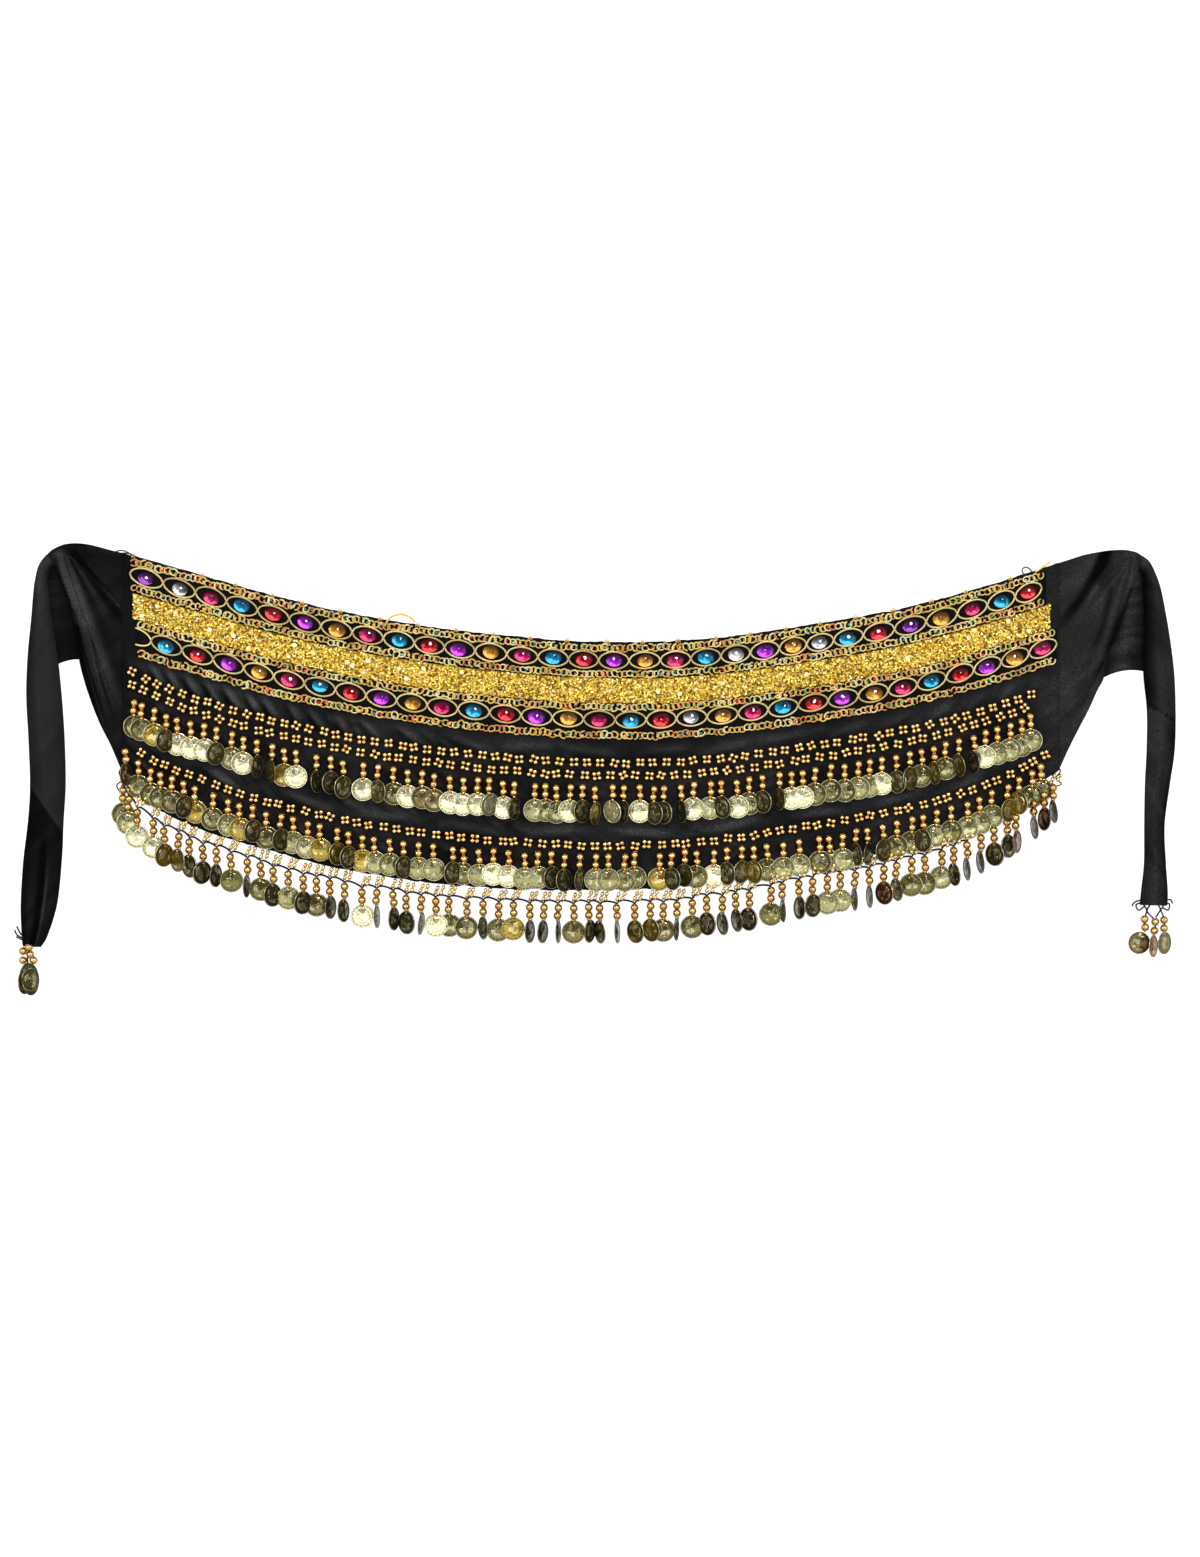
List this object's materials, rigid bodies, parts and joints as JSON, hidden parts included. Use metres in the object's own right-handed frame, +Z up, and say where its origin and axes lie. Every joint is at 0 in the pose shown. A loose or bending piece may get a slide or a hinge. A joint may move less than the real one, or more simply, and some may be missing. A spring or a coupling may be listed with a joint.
{
  "type": "belly dance hip scarf",
  "caption": "Crescent hip scarf of black velour with jewelled trims, a sequin band, bead rows and coin fringes, laid flat with its gathered ends and ties folded down.",
  "frame": {"origin": "on the surface that the scarf rests on, under the middle of its box", "axes": "+Z up, out of the scarf's face; +X along the scarf towards its right-hand tie; +Y from the hem to the waist edge"},
  "size_m": [1.0397, 0.4065, 0.0098],
  "materials": {
    "velour": "crushed black velour with a fine grey glint",
    "satin_back": "smooth charcoal back of the velour",
    "gold_cord": "metallic gold cord and picot thread",
    "gems": "foil-backed faceted stones in several colours",
    "sequins": "mirror gold sequins",
    "small_beads": "metallised yellow gold",
    "large_beads": "metallised copper gold",
    "coins": "thin stamped coins, pale brass",
    "thread": "black beading thread"
  },
  "bodies": {
    "root": {"main_panel": "velour", "end_panel_left": "velour", "end_panel_right": "velour", "back_layer_left": "velour", "back_layer_right": "velour", "tie_left": "satin_back", "tie_right": "satin_back", "gem_trim_upper": "gold_cord", "gem_trim_lower": "gold_cord", "sequin_band": "sequins", "bead_row_1": "small_beads", "bead_row_2": "small_beads", "bead_row_3": "small_beads", "coin_fringe_upper": "coins", "coin_fringe_middle": "coins", "coin_fringe_hem": "coins", "tassel_left": "coins", "tassel_right": "coins"}
  },
  "joints": []
}
